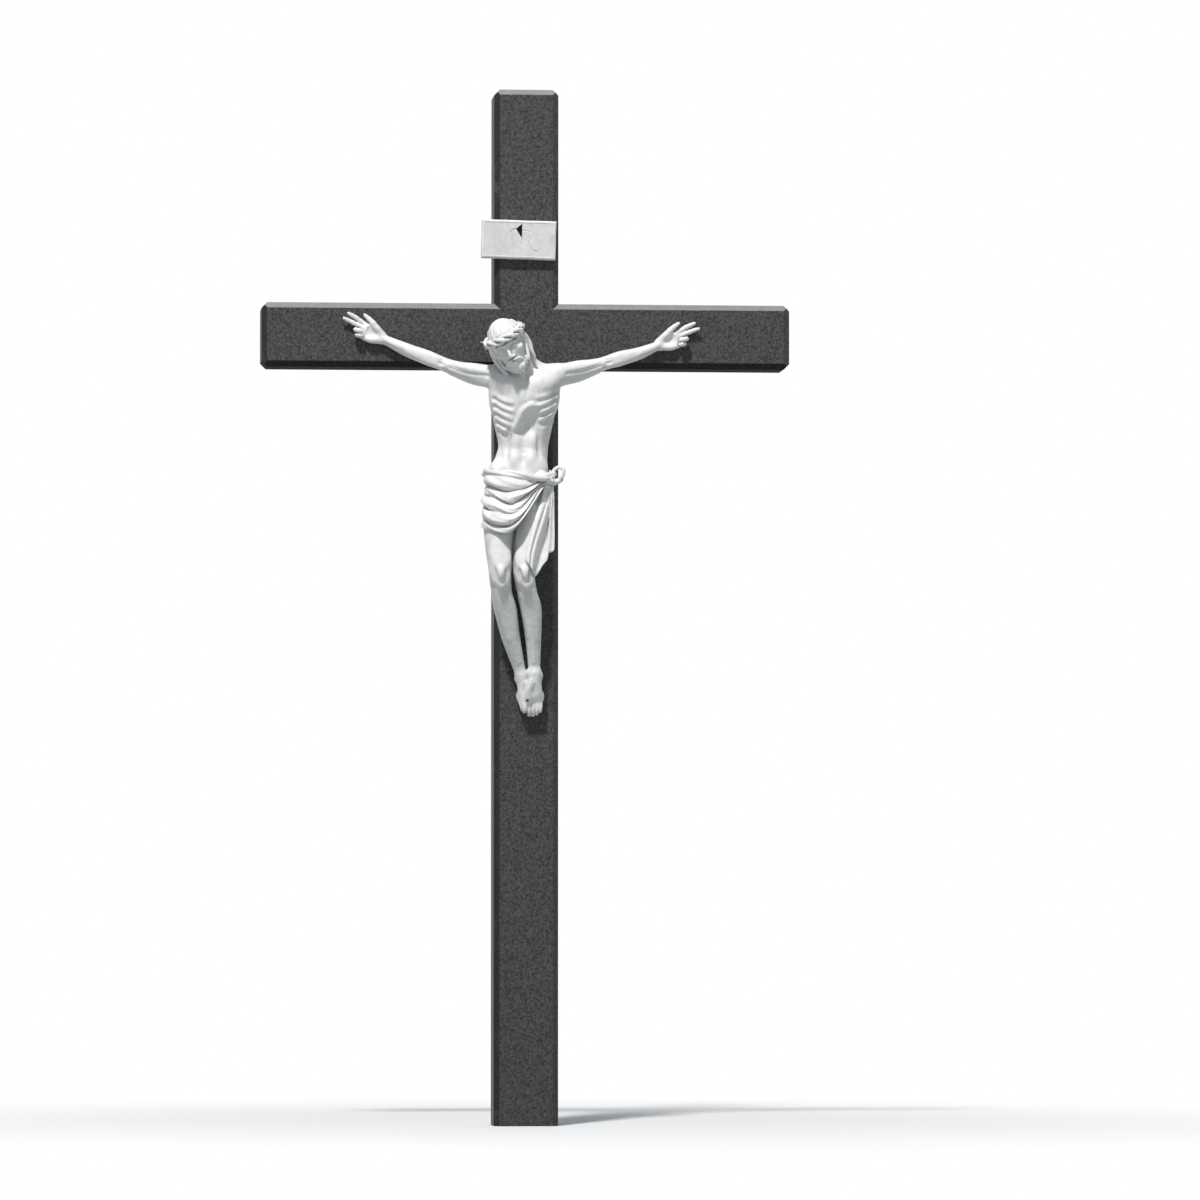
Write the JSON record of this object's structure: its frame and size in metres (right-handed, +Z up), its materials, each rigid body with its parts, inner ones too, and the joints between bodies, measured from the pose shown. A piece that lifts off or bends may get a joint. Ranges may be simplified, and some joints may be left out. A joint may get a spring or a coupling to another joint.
{
  "type": "crucifix memorial cross",
  "caption": "Tall chamfered granite cross with a life-size carved marble figure in a loincloth and a small marble title tablet.",
  "frame": {"origin": "middle of the flat foot of the shaft, where it meets the ground", "axes": "+X to the viewer's right, +Y to the back of the cross, +Z up; the figure faces -Y"},
  "size_m": [2.3, 0.5612, 4.5],
  "materials": {
    "dark_granite": "polished, finely speckled",
    "white_marble_tablet": "honed, weathered",
    "white_marble_figure": "honed, weathered"
  },
  "bodies": {
    "root": {"granite_cross": "dark_granite", "title_tablet": "white_marble_tablet", "corpus": "white_marble_figure"}
  },
  "joints": []
}
